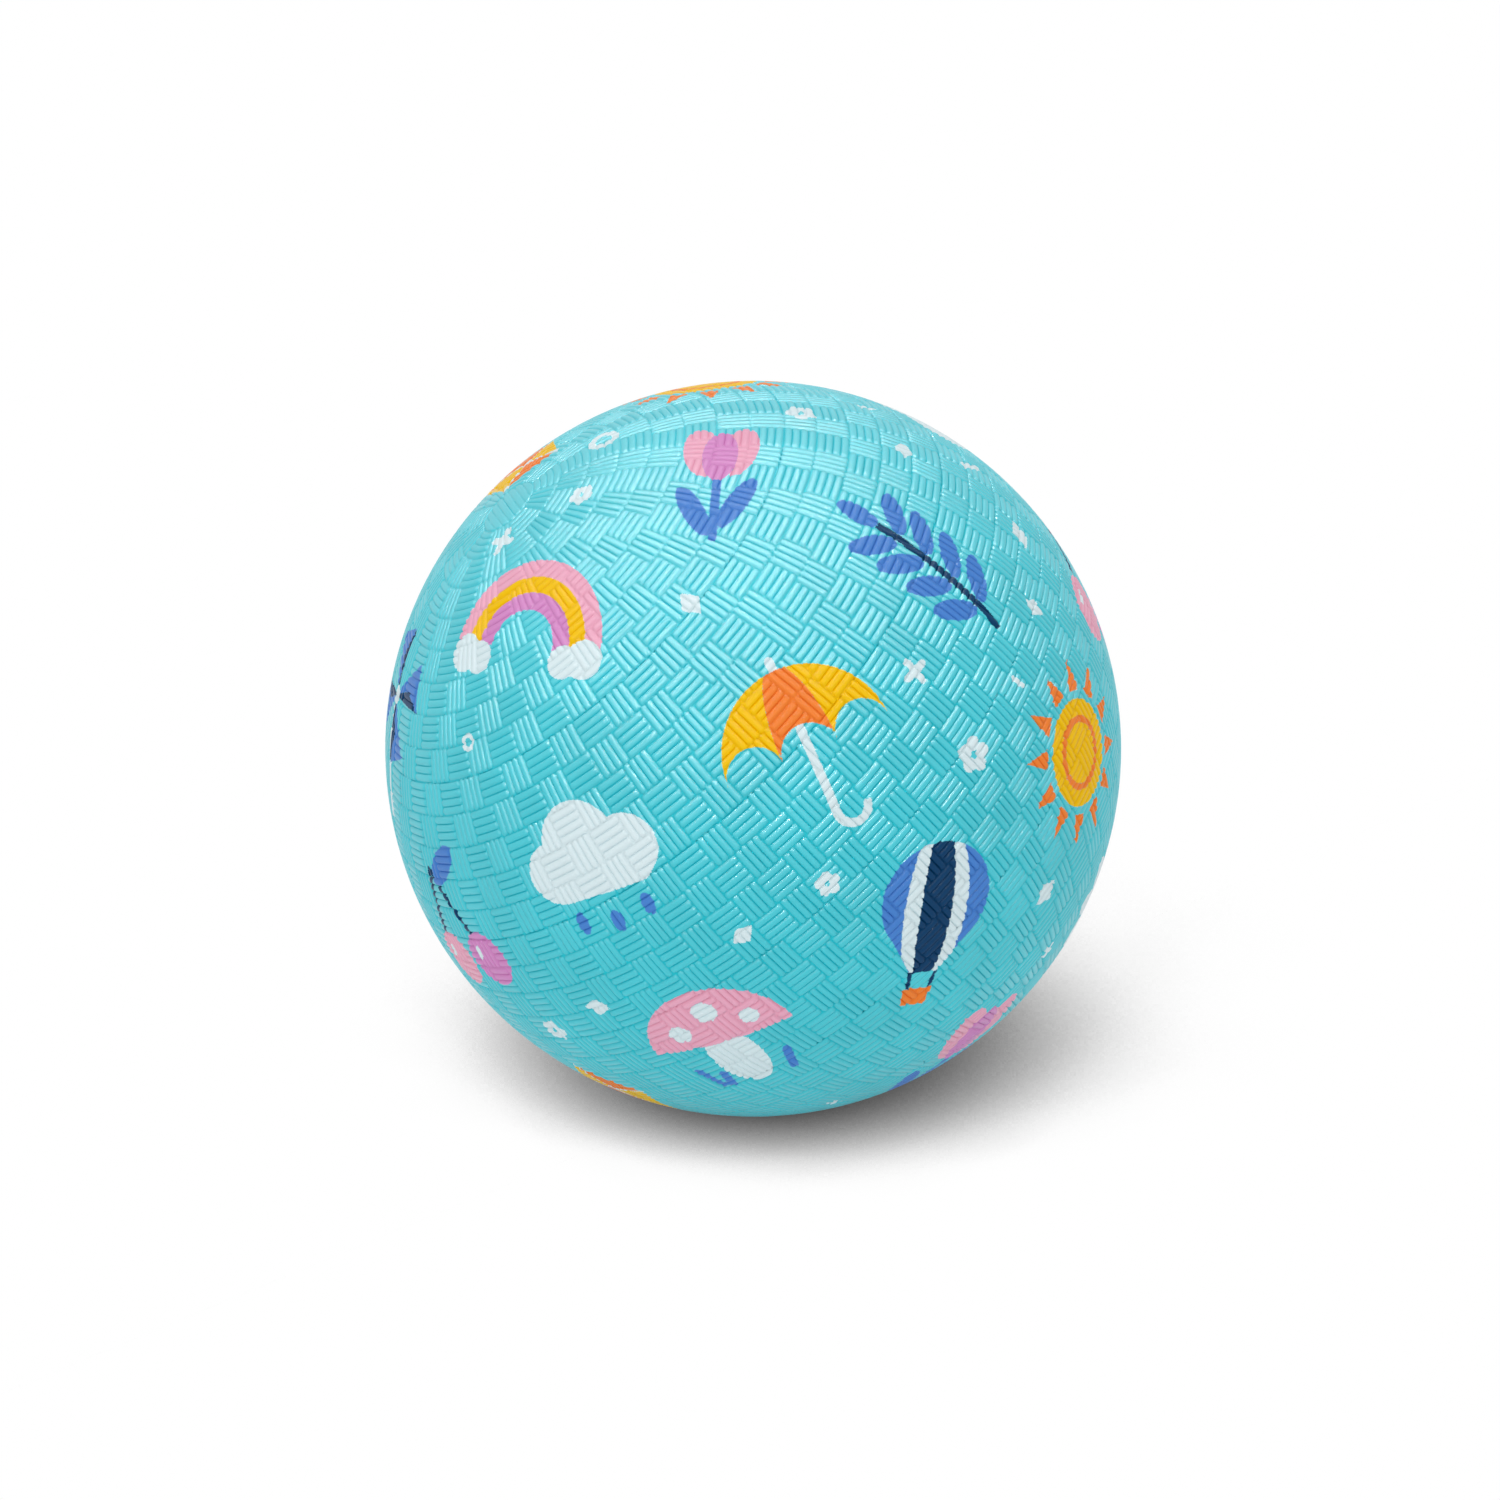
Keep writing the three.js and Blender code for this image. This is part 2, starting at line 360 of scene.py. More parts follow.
# Motifs take turns along the spiral, and marks go where they find room. Nearness is the cosine of an angle.
def planPrint():
    rng = np.random.default_rng(printPlan["seed"])
    middles = spreadDirections(printPlan["motifs"], printPlan["turn"])
    motifAtValve = math.cos((printPlan["valveRoom"] + printPlan["motifReach"] / 2) / ball["radius"])
    markAtValve = math.cos(printPlan["valveRoom"] / ball["radius"])
    markAtMotif = math.cos(printPlan["markRoom"] / ball["radius"])
    placed = []
    for number, middle in enumerate(middles):
        lean = rng.uniform(-1, 1) * printPlan["motifTilt"]
        size = rng.uniform(*printPlan["motifSizes"])
        pair = inkPairs[(2 * number + 1) % len(inkPairs)]  # neighbours differ
        draw = motifs[number % len(motifs)]
        if middle @ mouldZ < motifAtValve:
            placed.append((draw, pair, middle, lean, size, printPlan["motifReach"]))
    for middle in spreadDirections(printPlan["marks"], printPlan["turn"] + printPlan["markTurn"]):
        lean = rng.uniform(-math.pi, math.pi)
        size = rng.uniform(*printPlan["markSizes"])
        draw = marks[rng.integers(len(marks))]
        nearestInk = min(distance[0] for distance in printInks(middle[None], placed).values())
        offInk = nearestInk > printPlan["markGap"] and (middles @ middle).max() < markAtMotif
        if offInk and middle @ mouldZ <= markAtValve:
            placed.append((draw, None, middle, lean, size, printPlan["markReach"]))
    return placed


# The plane of a motif is laid on the ball so that distances from its middle stay true.
# A later shape knocks its place out of the inks under it, so no two inks overlap.
def printInks(directions, placed):
    inks = {name: np.full(len(directions), inkFar) for name in inkNames}
    for draw, pair, middle, lean, size, reach in placed:
        facing = directions @ middle
        where = np.nonzero(facing > math.cos(size * reach / ball["radius"]))[0]
        if len(where) == 0:
            continue
        right, up = tangentAxes(middle, lean)
        across, along = directions[where] @ right, directions[where] @ up
        flat = np.maximum(np.hypot(across, along), leastFlat)
        scale = ball["radius"] * np.arctan2(flat, facing[where]) / flat / size
        x, y = across * scale, along * scale
        layers = draw(x, y, *pair) if pair else [("white", draw(x, y))]
        for name, distance in layers:
            for other in inkNames:
                inks[other][where] = np.maximum(inks[other][where], -distance * size)
            inks[name][where] = np.minimum(inks[name][where], distance * size)
    return {name: np.clip(values, -inkFar, inkFar) for name, values in inks.items()}


printed = planPrint()
print("print planned:", len(printed), "motifs and marks")

sharpAngle = math.radians(75)  # between two faces, past which their edge isn't shaded smooth


# All the points of a surface, as three arrays.
def pointsOf(surface):
    return [np.concatenate(surface[key]) for key in ("turn", "rise", "radius")]


# Puts a surface into a mesh object: a point lies at its radius along its direction, but not under the floor.
def makePiece(name, surface, side):
    turn, rise, radius = pointsOf(surface)
    points = ballCentre + directionsOf(turn, rise, side) * radius[:, None]
    points[:, 2] = np.maximum(points[:, 2], 0.0)
    quads = np.concatenate(surface["quads"] + [np.zeros((0, 4), int)])
    tris = np.concatenate(surface["tris"])
    corners = np.concatenate([quads.ravel(), tris.ravel()])
    starts = np.concatenate([np.arange(len(quads)) * 4, quads.size + np.arange(len(tris)) * 3])
    mesh = bpy.data.meshes.new(name)
    mesh.vertices.add(len(points))
    mesh.vertices.foreach_set("co", (points * metre).astype(np.float32).ravel())
    mesh.loops.add(len(corners))
    mesh.loops.foreach_set("vertex_index", corners.astype(np.int32))
    mesh.polygons.add(len(starts))
    mesh.polygons.foreach_set("loop_start", starts.astype(np.int32))
    mesh.update(calc_edges=True)
    mesh.shade_smooth()
    mesh.set_sharp_from_angle(angle=sharpAngle)
    piece = bpy.data.objects.new(name, mesh)
    bpy.context.scene.collection.objects.link(piece)
    print(name, "has", len(starts), "faces")
    return piece


# Chart of a cover band, in shares of a unit square: the outside is a disc round the axis, and hidden faces
# are a small disc in a corner, on which deeper points lie further in.
coverChart = {
    "centre": 0.5,
    "radius": 0.49,
    "cornerCentre": 0.065,
    "cornerRadius": 0.06,
    "cornerLeast": 0.05,  # share of the small disc's radius that stays empty
    "inwards": 4.0,  # times a point's depth under the crests, as a share of the ball's radius
}


def addChart(piece, surface):
    turn, rise, radius = pointsOf(surface)
    fromPole = math.pi / 2 - rise
    reach = fromPole / fromPole.max()
    depth = (ball["radius"] - radius) / ball["radius"]
    cornerReach = np.clip(reach - coverChart["inwards"] * depth, coverChart["cornerLeast"], 1)
    ring = np.stack([np.cos(turn), np.sin(turn)], -1)
    shown = coverChart["centre"] + coverChart["radius"] * reach[:, None] * ring
    tucked = coverChart["cornerCentre"] + coverChart["cornerRadius"] * cornerReach[:, None] * ring
    corners = np.empty(len(piece.data.loops), np.int32)
    piece.data.loops.foreach_get("vertex_index", corners)
    hidden = np.zeros(len(corners), bool)
    hiddenTris = np.repeat(np.concatenate(surface["hidden"]), 3)
    hidden[len(corners) - len(hiddenTris):] = hiddenTris  # triangles come after quads
    places = np.where(hidden[:, None], tucked[corners], shown[corners])
    chart = piece.data.uv_layers.new(name="OFBake")
    chart.data.foreach_set("uv", places.astype(np.float32).ravel())


# One number for each point, for the material to read.
def addValues(piece, name, values):
    attribute = piece.data.attributes.new(name, "FLOAT", "POINT")
    attribute.data.foreach_set("value", values.astype(np.float32))


# Weave: rings of square blocks, four ribs in each, turned by a quarter from one block to the next.
weave = {
    "ringAngle": math.radians(5),
    "blocks": (72, 72, 72, 68, 68, 62, 62, 56, 52, 48, 44, 38, 34, 28, 22, 16, 10),  # parting line to pole
    "ribs": 4,
    "depth": 0.58,  # at the parting line
    "poleFade": 0.4,  # share of that depth that is lost at the poles
    "fadePower": 1.5,
    "crestPower": 4,  # higher gives a rib a flatter crest
    "groovePower": 0.85,  # lower gives a narrower groove
    "ringSeam": 0.13,  # from a ring's edge to its ribs
    "uprightShare": 0.45,  # of a pair of blocks, for the block with ribs along the meridian
    "gapShare": 0.012,  # between two blocks
    "endLength": 0.7,  # over which a rib's end rounds off
    "uprightEnd": 0.7,  # how far the end falls: 1 is down to the groove
    "levelEnd": 0.93,  # the same for ribs that run round the axis
    "slip": 0.31,  # of a pair, where the number of blocks changes
    "valveStart": 0.37,  # of a pair, how far the valve's half is out of step at the parting line
    "ribSteps": (0.0, 0.14, 0.325, 0.5, 0.675, 0.86),  # points across one rib, from groove to groove
    "endSteps": (0.0, 0.3, 0.8),  # points near a rib's end
    "middleSteps": 8,  # points from there to the other end, both counted
}
floorRadius = ball["radius"] - weave["depth"]
acrossSteps = np.append((np.arange(weave["ribs"])[:, None] + weave["ribSteps"]).ravel(), weave["ribs"])


# Points along a rib: close together at its two round ends, even between them.
def alongSteps(length):
    near = np.array(weave["endSteps"])
    middle = np.linspace(near[-1], length - near[-1], weave["middleSteps"])
    return np.concatenate([near, middle[1:-1], length - near[::-1]])


# The weave's depth falls from the parting line to the poles, by a power of the ring's share of the way.
def ringDepth(number):
    return weave["depth"] * (1 - weave["poleFade"] * (number / len(weave["blocks"])) ** weave["fadePower"])


# A rib keeps its crest on the ball's sphere. Its height is one less a high power of the distance from its
# middle line, as a share of half its width, to a power just under one: it is broad and the groove is narrow.
# At an end the distance from the end counts too, so the rib closes in a round.
def ribRadius(across, fromEnd, endFall, depth):
    sideways = np.abs(2 * np.mod(across, 1.0) - 1)
    endwise = endFall * np.clip(1 - fromEnd / weave["endLength"], 0, 1)
    off = np.minimum(np.hypot(sideways, endwise), 1)
    height = (1 - off ** weave["crestPower"]) ** weave["groovePower"]
    return ball["radius"] - depth * (1 - height)


# One ring of blocks in pairs: a block whose ribs run up the meridian, then one whose ribs run round the axis.
# A block is a grid of points across its ribs by points along them, and its radius is that of the ribs.
# Gives back the ring's lower and upper rims.
def weaveRing(surface, number, start):
    pairs = weave["blocks"][number] // 2
    pairAngle = 2 * math.pi / pairs
    seam = weave["ringSeam"] / floorRadius
    low = number * weave["ringAngle"] + seam
    high = (number + 1) * weave["ringAngle"] - seam
    tall = (high - low) * floorRadius
    wide = pairAngle * floorRadius * math.cos((low + high) / 2)
    pairStart = start + np.arange(pairs)[:, None] * pairAngle
    depth = ringDepth(number)

    along = alongSteps(tall)
    uprightTurn = pairStart + acrossSteps / weave["ribs"] * weave["uprightShare"] * pairAngle
    uprightRise = low + along / floorRadius
    radius = ribRadius(acrossSteps, np.minimum(along, tall - along)[:, None], weave["uprightEnd"], depth)
    upright = addPoints(surface, uprightTurn[:, None, :], uprightRise[:, None], radius)

    levelShare = 1 - weave["uprightShare"] - 2 * weave["gapShare"]
    along = alongSteps(levelShare * wide)
    levelTurn = pairStart + (weave["uprightShare"] + weave["gapShare"] + along / wide) * pairAngle
    levelRise = low + acrossSteps / weave["ribs"] * (high - low)
    fromEnd = np.minimum(along, levelShare * wide - along)
    radius = ribRadius(acrossSteps[:, None], fromEnd, weave["levelEnd"], depth)
    level = addPoints(surface, levelTurn[:, None, :], levelRise[:, None], radius)

    addGrid(surface, upright)
    addGrid(surface, level)
    addSeam(surface, upright[:, :, -1], uprightRise, level[:, :, 0], levelRise)
    addSeam(surface, level[:, :, -1], levelRise, np.roll(upright[:, :, 0], -1, axis=0), uprightRise)
    turns = np.concatenate([uprightTurn, levelTurn], axis=1)
    return [sortedLoop(np.concatenate([upright[:, row], level[:, row]], axis=1), turns) for row in (0, -1)]


# Where each ring starts: neighbours with as many blocks lie in checkerboard, half a pair on, and others slip.
# A pair of blocks takes twice the full circle over their number.
def ringStarts(first):
    starts = [first]
    for before, after in zip(weave["blocks"][:-1], weave["blocks"][1:]):
        shift = 0.5 if before == after else weave["slip"]
        starts.append(starts[-1] + shift * 4 * math.pi / after)
    return starts


# A loop of one surface again, as points of another.
def copyLoop(target, source, loop):
    return newLoop(target, *[values[loop["index"]] for values in pointsOf(source)])


# Inner face of the cover: loops on a sphere, from one angle above the parting line down to another.
def innerLoops(surface, high, low):
    turns = evenTurns(ball["insideTurns"])
    count = max(2, round((high - low) / weave["ringAngle"]) + 1)
    return [newLoop(surface, turns, rise, ball["inside"]) for rise in np.linspace(high, low, count)]


# Line that the mould's parting leaves: on each half a quarter of an oval, from its crest down to the floor
# of the grooves, carried round the axis.
flash = {"height": 0.13, "halfWidth": 0.09, "turns": 360, "steps": 4}


def partingLoops(surface):
    turns = evenTurns(flash["turns"])
    loops = []
    for angle in np.linspace(0, math.pi / 2, flash["steps"]):
        rise = flash["halfWidth"] * math.sin(angle) / floorRadius
        loops.append(newLoop(surface, turns, rise, floorRadius + flash["height"] * math.cos(angle)))
    return loops


# Round patch of straight ribs that closes the weave at the pole across from the valve.
poleCap = {"ribs": 8, "turns": 180, "rings": 34, "pointRadius": 0.1}


# Circles that close in on the pole. A point's place across the patch tells its rib, and what is left of that
# rib beyond the point is its distance from the rib's end.
def poleLoops(surface):
    reach = weave["ringAngle"] * floorRadius - weave["ringSeam"]
    turns = evenTurns(poleCap["turns"])
    depth = ringDepth(len(weave["blocks"]))
    loops = []
    for distance in np.linspace(reach, poleCap["pointRadius"], poleCap["rings"]):
        x, y = distance * np.cos(turns), distance * np.sin(turns)
        across = (x / reach + 1) / 2 * poleCap["ribs"]
        fromEnd = np.sqrt(np.maximum(reach ** 2 - x ** 2, 0)) - np.abs(y)
        radius = ribRadius(across, fromEnd, weave["levelEnd"], depth)
        loops.append(newLoop(surface, turns, math.pi / 2 - distance / floorRadius, radius))
    loops.append(newLoop(surface, np.zeros(1), math.pi / 2, ball["radius"] - depth))
    return loops


# Smooth moulded land round the valve, with a fine ring groove, a flat pad and the hole.
valveLand = {
    "edge": 15.45,  # distance of its outer edge from the valve's axis
    "edgeWidth": 0.7,
    "grooveRadius": 11.9,
    "grooveWidth": 0.35,
    "grooveDepth": 0.22,
    "padRadius": 9.0,
    "holeRadius": 6.3,
    "holeRound": 0.35,
    "turns": 192,
    "landSteps": 44,  # points from the edge to the pad
    "padSteps": 5,
    "roundSteps": 5,
}
padHeight = math.sqrt(ball["radius"] ** 2 - valveLand["padRadius"] ** 2)


# A profile turned about the axis: distances from it, and heights above the ball's centre.
def profileLoops(surface, distances, heights, turns):
    loops = []
    for distance, height in zip(distances, heights):
        around = turns if distance > 0 else np.zeros(1)
        loops.append(newLoop(surface, around, math.atan2(height, distance), math.hypot(distance, height)))
    return loops


# The land keeps to the crests' sphere, less a smooth step at its edge and a bell-shaped groove. Then comes
# the flat pad, and a quarter of a circle into the hole.
def landProfile():
    distances = np.linspace(valveLand["edge"], valveLand["padRadius"], valveLand["landSteps"])
    share = np.clip((valveLand["edge"] - distances) / valveLand["edgeWidth"], 0, 1)
    drop = weave["depth"] * (1 - share * share * (3 - 2 * share))
    offGroove = (distances - valveLand["grooveRadius"]) / valveLand["grooveWidth"]
    drop = drop + valveLand["grooveDepth"] * np.exp(-offGroove ** 2)
    heights = np.sqrt((ball["radius"] - drop) ** 2 - distances ** 2)
    angles = np.linspace(0, math.pi / 2, valveLand["roundSteps"])
    edge = valveLand["holeRadius"] + valveLand["holeRound"] * (1 - np.sin(angles))
    below = padHeight - valveLand["holeRound"] * (1 - np.cos(angles))
    pad = np.linspace(valveLand["padRadius"], edge[0], valveLand["padSteps"])[1:-1]
    distances = np.concatenate([distances, pad, edge])
    return distances, np.concatenate([heights, np.full(len(pad), padHeight), below])


# The land takes the place of the last ring on the valve's side.
def lastRing(side):
    return len(weave["blocks"]) - 1 if side == plainSide else len(weave["blocks"]) - 2


# One band of a cover half: its outside, then its edges and inner face, closed all round.
# The band starts on the rim of the one below it, or else at the parting line.
def coverBand(name, side, rings, starts, below):
    surface = newSurface()
    outside = [copyLoop(surface, *below)] if below else partingLoops(surface)
    joinPath(surface, outside)
    start, end = outside[0], outside[-1]
    for number in rings:
        first, last = weaveRing(surface, number, starts[number])
        joinPath(surface, [end, first])
        end = last
    rim = (surface, end)
    bottom = rings[0] * weave["ringAngle"]
    if rings[-1] < lastRing(side):
        inside = [end] + innerLoops(surface, (rings[-1] + 1) * weave["ringAngle"], bottom)
    elif side == plainSide:
        joinPath(surface, [end] + poleLoops(surface))
        pole = newLoop(surface, np.zeros(1), math.pi / 2, ball["inside"])
        inside = [pole] + innerLoops(surface, math.pi / 2 - weave["ringAngle"], bottom)
    else:
        land = profileLoops(surface, *landProfile(), evenTurns(valveLand["turns"]))
        joinPath(surface, [end] + land)
        hole = math.acos(valveLand["holeRadius"] / ball["inside"])
        inside = [land[-1]] + innerLoops(surface, hole, bottom)
    joinPath(surface, inside + [start], hidden=True)
    piece = makePiece(name, surface, side)
    addChart(piece, surface)
    turn, rise, radius = pointsOf(surface)
    addValues(piece, "relief", np.clip((radius - floorRadius) / weave["depth"], 0, 1))
    for ink, distance in printInks(directionsOf(turn, rise, side), printed).items():
        addValues(piece, "ink." + ink, distance)
    return piece, rim


bands = {"Belt": (0, 4), "Shoulder": (4, 9), "Crown": (9, None)}  # first ring, and the one after the last


# Half of the cover, band by band from the parting line to the pole.
def coverHalf(label, side, node, material):
    first = 0.0 if side == plainSide else weave["valveStart"] * 4 * math.pi / weave["blocks"][0]
    starts = ringStarts(first)
    below = None
    for band, (low, high) in bands.items():
        rings = list(range(low, high or lastRing(side) + 1))
        piece, below = coverBand("cover" + label + band, side, rings, starts, below)
        piece.data.materials.append(material)
        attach(piece, "ball")
        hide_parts(node)


# Materials. An sRGB hex code becomes linear by the standard curve.
def linearColour(code):
    channels = [int(code[i:i + 2], 16) / 255 for i in (1, 3, 5)]
    return [c / 12.92 if c <= 0.04045 else ((c + 0.055) / 1.055) ** 2.4 for c in channels] + [1.0]


# Adds a node with its settings, and its inputs as links or values. In a Map Range, input 0 is the value,
# 1 and 2 are its range, 3 and 4 the range that it becomes. In a Mix, 0 is the share, 6 and 7 the colours.
def addNode(tree, kind, inputs=None, **settings):
    node = tree.nodes.new("ShaderNode" + kind)
    for key, value in settings.items():
        setattr(node, key, value)
    for key, value in (inputs or {}).items():
        if isinstance(value, bpy.types.NodeSocket):
            tree.links.new(value, node.inputs[key])
        else:
            node.inputs[key].default_value = value
    return node


# A material whose nodes are still to be made.
def newMaterial(name):
    material = bpy.data.materials.new(name)
    material.use_nodes = True
    tree = material.node_tree
    tree.nodes.clear()
    return material, tree


# Vulcanised rubber from a steel mould, screen printed. Satin: one strong colour, on which a white sheen draws
# the crests, with fine lines where a polished mould left a smooth skin. In the grooves both are turned down,
# as painted shade of the gloss in the recesses, and ink is nearly dull.
coverRubber = {
    "rubber": "#2ABFCC",
    "inks": {"white": "#D3E3E7", "yellow": "#EBBB02", "orange": "#EA7E30", "pink": "#E4A5BC",
             "orchid": "#CE87C0", "blue": "#477FC9", "navy": "#063A62"},
    "ior": 1.52,
    "roughness": 0.46,
    "inkRoughness": 0.3,
    "grooveRelief": 0.6,  # share of the weave's depth over which the grooves' painted shade of gloss gives way to the crests' shine
    "shine": (0.03, 0.52),  # specular level: of grooves, turned down as painted shade, and of crests
    "skin": (0.02, 0.29),  # coat weight, of the same two, likewise turned down in the grooves as painted shade
    "inkSheen": 0.07,  # share of the crests' gloss that shows through ink
    "skinRoughness": 0.18,
    "inkOverlap": 0.06,  # mm that an ink spreads past its edge
    "inkRagged": 0.16,  # mm that the edge wanders with the grain
    "inkSoft": 0.05,  # mm to either side over which the edge fades
    "grain": 0.35,  # mm
    "grainHeight": 0.012,  # mm
    "grainBump": 0.6,  # strength
    "cloudiness": 18.0,  # mm, slow change of the rubber's shade
    "shade": (0.96, 1.04),  # darkest and lightest, times the colour
    "noiseRange": (0.3, 0.7),  # that most of a noise falls in
}


def makeCoverRubber():
    look = coverRubber
    material, tree = newMaterial("vulcanised rubber, screen printed")
    low, high = look["noiseRange"]
    place = addNode(tree, "TexCoord").outputs["Object"]
    relief = addNode(tree, "Attribute", attribute_name="relief").outputs["Fac"]
    slow = addNode(tree, "TexNoise", {
        "Vector": place, "Scale": 1 / (look["cloudiness"] * metre), "Detail": 2.0}).outputs[0]
    grain = addNode(tree, "TexNoise", {
        "Vector": place, "Scale": 1 / (look["grain"] * metre), "Detail": 3.0}).outputs[0]
    raised = addNode(tree, "MapRange", {0: relief, 2: look["grooveRelief"]}).outputs[0]
    shade = addNode(tree, "MapRange", {
        0: slow, 1: low, 2: high, 3: look["shade"][0], 4: look["shade"][1]}).outputs[0]
    colour = addNode(tree, "Mix", {
        0: 1.0, 6: linearColour(look["rubber"]), 7: shade},
        data_type="RGBA", blend_type="MULTIPLY").outputs[2]
    wander = addNode(tree, "MapRange", {
        0: grain, 1: low, 2: high, 3: -look["inkRagged"], 4: look["inkRagged"]}).outputs[0]
    inked = None
    for name, code in look["inks"].items():
        edge = addNode(tree, "Attribute", attribute_name="ink." + name).outputs["Fac"]
        ragged = addNode(tree, "Math", {0: edge, 1: wander}, operation="ADD").outputs[0]
        cover = addNode(tree, "MapRange", {
            0: ragged, 1: look["inkOverlap"] + look["inkSoft"],
            2: look["inkOverlap"] - look["inkSoft"]}).outputs[0]
        colour = addNode(tree, "Mix", {
            0: cover, 6: colour, 7: linearColour(code)}, data_type="RGBA").outputs[2]  # over those before
        inked = cover if inked is None else addNode(
            tree, "Math", {0: inked, 1: cover}, operation="MAXIMUM").outputs[0]
    roughness = addNode(tree, "MapRange", {
        0: inked, 3: look["roughness"], 4: look["inkRoughness"]}).outputs[0]
    # Gloss follows the relief, so grooves, and ink in them, are darkened by painted shade of the sheen.
    inkCrest = addNode(tree, "Math", {0: raised, 1: look["inkSheen"]}, operation="MULTIPLY").outputs[0]
    gloss = addNode(tree, "MapRange", {0: inked, 3: raised, 4: inkCrest}).outputs[0]
    shine = addNode(tree, "MapRange", {0: gloss, 3: look["shine"][0], 4: look["shine"][1]}).outputs[0]
    skin = addNode(tree, "MapRange", {0: gloss, 3: look["skin"][0], 4: look["skin"][1]}).outputs[0]
    bump = addNode(tree, "Bump", {
        "Strength": look["grainBump"], "Distance": look["grainHeight"] * metre, "Height": grain})
    shader = addNode(tree, "BsdfPrincipled", {
        "Base Color": colour, "Roughness": roughness, "Specular IOR Level": shine, "IOR": look["ior"],
        "Coat Weight": skin, "Coat Roughness": look["skinRoughness"], "Normal": bump.outputs[0]})
    addNode(tree, "OutputMaterial", {"Surface": shader.outputs[0]})
    return material


# Black rubbers: the bladder's butyl, dull and patchy with talc dust, and the valve's harder mouldings,
# more even and a little shinier. Patches are in mm.
blackRubbers = {
    "butyl rubber, talc dusted": {"dark": "#1A1A1C", "light": "#3A3A3B", "roughness": 0.75, "patch": 6.0},
    "valve rubber, moulded": {"dark": "#232427", "light": "#2E2F33", "roughness": 0.55, "patch": 1.5},
    "plug rubber, moulded": {"dark": "#161618", "light": "#222225", "roughness": 0.5, "patch": 1.2},
}
blackFinish = {
    "ior": 1.52,
    "patchRange": (0.4, 0.65),  # of the noise, from dark to light
    "roughnessSpread": 0.06,
    "grain": 0.3,  # mm
    "grainHeight": 0.02,  # mm
    "grainBump": 0.5,  # strength
}


def makeBlackRubber(name):
    look = blackRubbers[name]
    material, tree = newMaterial(name)
    place = addNode(tree, "TexCoord").outputs["Object"]
    patch = addNode(tree, "TexNoise", {
        "Vector": place, "Scale": 1 / (look["patch"] * metre), "Detail": 4.0}).outputs[0]
    grain = addNode(tree, "TexNoise", {
        "Vector": place, "Scale": 1 / (blackFinish["grain"] * metre), "Detail": 2.0}).outputs[0]
    share = addNode(tree, "MapRange", {
        0: patch, 1: blackFinish["patchRange"][0], 2: blackFinish["patchRange"][1]}).outputs[0]
    colour = addNode(tree, "Mix", {
        0: share, 6: linearColour(look["dark"]), 7: linearColour(look["light"])}, data_type="RGBA").outputs[2]
    roughness = addNode(tree, "MapRange", {
        0: patch, 3: look["roughness"] - blackFinish["roughnessSpread"],
        4: look["roughness"] + blackFinish["roughnessSpread"]}).outputs[0]
    bump = addNode(tree, "Bump", {
        "Strength": blackFinish["grainBump"], "Height": grain,
        "Distance": blackFinish["grainHeight"] * metre})
    shader = addNode(tree, "BsdfPrincipled", {
        "Base Color": colour, "Roughness": roughness, "IOR": blackFinish["ior"], "Normal": bump.outputs[0]})
    addNode(tree, "OutputMaterial", {"Surface": shader.outputs[0]})
    return material


# Nylon thread wound every way over the bladder: three sets of fine parallel lines, off-white and dull.
winding = {
    "thread": "#EAE5D6",
    # The gap colour is painted shade: the same thread, darker in the hollows between the threads.
    "gap": "#A79F8C",
    "roughness": 0.7,
    "spacing": 1.4,  # mm, coarser than real thread so that it shows
    "height": 0.2,  # mm
    "bump": 0.8,  # strength
    "unevenness": 0.6,
    "ways": ((0.3, 0.2, 0.9), (1.4, 0.8, 0.1), (0.7, 2.0, 0.5)),  # turns of the three sets, in radians
}
waveTurn = 20.0  # radians of a wave texture's sine in one unit


def makeNylonThread():
    material, tree = newMaterial("nylon thread, wound")
    place = addNode(tree, "TexCoord").outputs["Object"]
    lines = None
    for turn in winding["ways"]:
        turned = addNode(tree, "Mapping", {"Vector": place, "Rotation": turn})
        wave = addNode(tree, "TexWave", {
            "Vector": turned.outputs[0], "Scale": 2 * math.pi / waveTurn / (winding["spacing"] * metre),
            "Distortion": winding["unevenness"]}).outputs["Fac"]
        lines = wave if lines is None else addNode(
            tree, "Math", {0: lines, 1: wave}, operation="MAXIMUM").outputs[0]
    colour = addNode(tree, "Mix", {
        0: lines, 6: linearColour(winding["gap"]), 7: linearColour(winding["thread"])},
        data_type="RGBA").outputs[2]
    bump = addNode(tree, "Bump", {
        "Strength": winding["bump"], "Distance": winding["height"] * metre, "Height": lines})
    shader = addNode(tree, "BsdfPrincipled", {
        "Base Color": colour, "Roughness": winding["roughness"], "Normal": bump.outputs[0]})
    addNode(tree, "OutputMaterial", {"Surface": shader.outputs[0]})
    return material


# Cover
coverMaterial = makeCoverRubber()
coverHalf("Plain", plainSide, "cover_plain_half", coverMaterial)
coverHalf("Valve", valveSide, "cover_valve_half", coverMaterial)
print("cover made")

# Valve: housing and plug are turned shapes, with every corner of the profile rounded.
valve = {
    "neckRadius": 6.0,
    "rimRecess": 0.2,  # rim below the pad
    "seatRadius": 4.5,
    "seatDepth": 1.5,
    "boreRadius": 3.3,
    "flangeRadius": 14.0,
    "flangeOutside": 84.7,  # from the ball's centre
    "flangeWall": 1.2,
    "stemLength": 9.0,
    "headRadius": 4.2,
    "headThickness": 1.2,
    "plugRadius": 3.0,
    "plugLength": 13.0,
    "plugChamfer": 0.8,
    "needleRadius": 1.2,
    "needleDepth": 2.0,
    "needleWaist": 0.6,  # share of that depth at half the radius
    "round": 0.22,  # of the corners
    "roundRoom": 0.45,  # most of a corner's shorter side that its rounding takes
    "roundSteps": 5,
    "flangeSteps": 5,
    "turns": 96,
}
rimHeight = padHeight - valve["rimRecess"]


